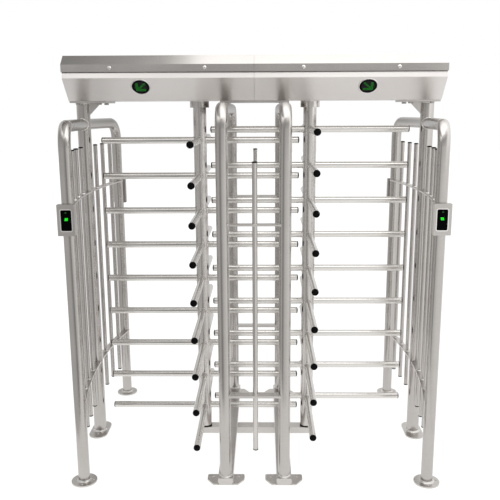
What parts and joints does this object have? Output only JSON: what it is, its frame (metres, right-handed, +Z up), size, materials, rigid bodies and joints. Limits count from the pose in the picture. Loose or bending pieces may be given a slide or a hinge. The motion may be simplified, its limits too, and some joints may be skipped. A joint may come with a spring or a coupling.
{
  "type": "full height turnstile",
  "caption": "Full height security gate of stainless tube, with rotors of horizontal arms, barred side guards, card readers and a sheet metal canopy that holds the locks.",
  "frame": {"origin": "on the floor, midway between the rotors and between the front and rear legs", "axes": "+Z up, -Y to the front that the picture shows, +X to the right as seen from the front"},
  "size_m": [2.107, 1.3586, 2.3],
  "materials": {
    "stainless_tube": "satin brushed along the tube",
    "stainless_plate": "satin, laser cut",
    "canopy_sheet": "fine satin sheet",
    "stainless_fastener": "plain turned",
    "bezel_metal": "bright turned",
    "black_plastic": "moulded, fine grain",
    "window_black": "smoked, glossy",
    "arrow_green": "lit green",
    "seal_rubber": "matt",
    "zinc_steel": "zinc plated",
    "cast_housing": "machined casting",
    "bronze": "turned bearing bronze",
    "solenoid_paint": "black wrapped coil case",
    "board_green": "solder mask",
    "supply_case": "plain folded"
  },
  "bodies": {
    "frame": {"left_guard_tube": "stainless_tube", "right_guard_tube": "stainless_tube", "left_guard_bars": "stainless_tube", "right_guard_bars": "stainless_tube", "bar_end_caps": "black_plastic", "left_guard_flats": "stainless_plate", "right_guard_flats": "stainless_plate", "guard_floor_flanges": "stainless_plate", "left_main_post": "stainless_tube", "right_main_post": "stainless_tube", "post_gussets": "stainless_plate", "post_floor_plates": "stainless_plate", "post_head_plates": "stainless_plate", "canopy_bolts": "stainless_fastener", "canopy_nuts": "stainless_fastener", "left_centre_frame": "stainless_tube", "right_centre_frame": "stainless_tube", "centre_cross_flats": "stainless_plate", "centre_bars": "stainless_tube", "floor_sills": "stainless_tube", "floor_cross_beam": "stainless_tube", "floor_end_plates": "stainless_plate", "centre_base_plates": "stainless_plate", "centre_tie_plate": "stainless_plate", "left_canopy_trough": "canopy_sheet", "right_canopy_trough": "canopy_sheet", "left_canopy_lid": "canopy_sheet", "right_canopy_lid": "canopy_sheet", "lid_screws": "stainless_fastener", "indicator_bezels": "bezel_metal", "indicator_windows": "window_black", "indicator_arrows": "arrow_green", "reader_housings": "stainless_plate", "reader_windows": "window_black", "rotor_collars": "stainless_tube", "pivot_pedestals": "zinc_steel", "foot_seals": "seal_rubber", "bearing_housings": "cast_housing", "upper_bearings": "zinc_steel", "mechanism_plates": "zinc_steel", "lock_bridges": "zinc_steel", "left_lock_spring": "zinc_steel", "right_lock_spring": "zinc_steel", "lock_solenoids": "solenoid_paint", "control_boards": "board_green", "power_supplies": "supply_case"},
    "left_rotor": {"left_rotor_post": "stainless_tube", "left_rotor_arms": "stainless_tube", "left_arm_plugs": "black_plastic", "left_foot_bush": "bronze", "left_head_shaft": "zinc_steel", "left_index_disc": "zinc_steel"},
    "right_rotor": {"right_rotor_post": "stainless_tube", "right_rotor_arms": "stainless_tube", "right_arm_plugs": "black_plastic", "right_foot_bush": "bronze", "right_head_shaft": "zinc_steel", "right_index_disc": "zinc_steel"},
    "left_lock": {"left_lock_bolt": "zinc_steel"},
    "right_lock": {"right_lock_bolt": "zinc_steel"}
  },
  "joints": [
    {"name": "left_rotor_spin", "type": "hinge", "parent": "frame", "child": "left_rotor", "pos_m": [-0.32, 0, 0], "axis": [0, 0, 1], "continuous": true},
    {"name": "right_rotor_spin", "type": "hinge", "parent": "frame", "child": "right_rotor", "pos_m": [0.32, 0, 0], "axis": [0, 0, 1], "continuous": true},
    {"name": "left_lock_slide", "type": "slide", "parent": "frame", "child": "left_lock", "axis": [0, 0, -1], "range_m": [0, 0.014], "stiffness_N_per_m": 400, "springref_m": -0.012, "deforming": ["left_lock_spring"]},
    {"name": "right_lock_slide", "type": "slide", "parent": "frame", "child": "right_lock", "axis": [0, 0, -1], "range_m": [0, 0.014], "stiffness_N_per_m": 400, "springref_m": -0.012, "deforming": ["right_lock_spring"]}
  ]
}
